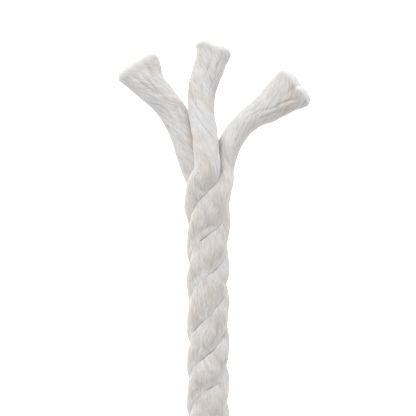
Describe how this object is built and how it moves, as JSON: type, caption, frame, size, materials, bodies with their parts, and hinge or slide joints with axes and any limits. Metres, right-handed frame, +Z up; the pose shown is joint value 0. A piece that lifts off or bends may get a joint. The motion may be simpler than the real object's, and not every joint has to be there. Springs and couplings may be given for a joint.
{
  "type": "dock line",
  "caption": "White three-strand laid dock line, wound into a tied coil, with one end unlaid into its heat-sealed strands.",
  "frame": {"origin": "middle of the footprint, on the surface that the line lies on", "axes": "+Z up; the unlaid end points towards -Y and the coil lies at +Y"},
  "size_m": [0.166, 0.2758, 0.0576],
  "materials": {
    "rope_nylon": "matte",
    "fused_nylon": "satin",
    "tie_cord": "matte",
    "whipping_twine": "matte"
  },
  "bodies": {
    "root": {"rope_coil": "rope_nylon", "rope_lead": "rope_nylon", "rope_tail": "rope_nylon", "strand_left": "rope_nylon", "strand_middle": "rope_nylon", "strand_right": "rope_nylon", "sealed_end_left": "fused_nylon", "sealed_end_middle": "fused_nylon", "sealed_end_right": "fused_nylon", "tail_sealed_end": "fused_nylon", "coil_tie_1": "tie_cord", "coil_tie_2": "tie_cord", "coil_tie_3": "tie_cord", "tail_whipping": "whipping_twine"}
  },
  "joints": []
}
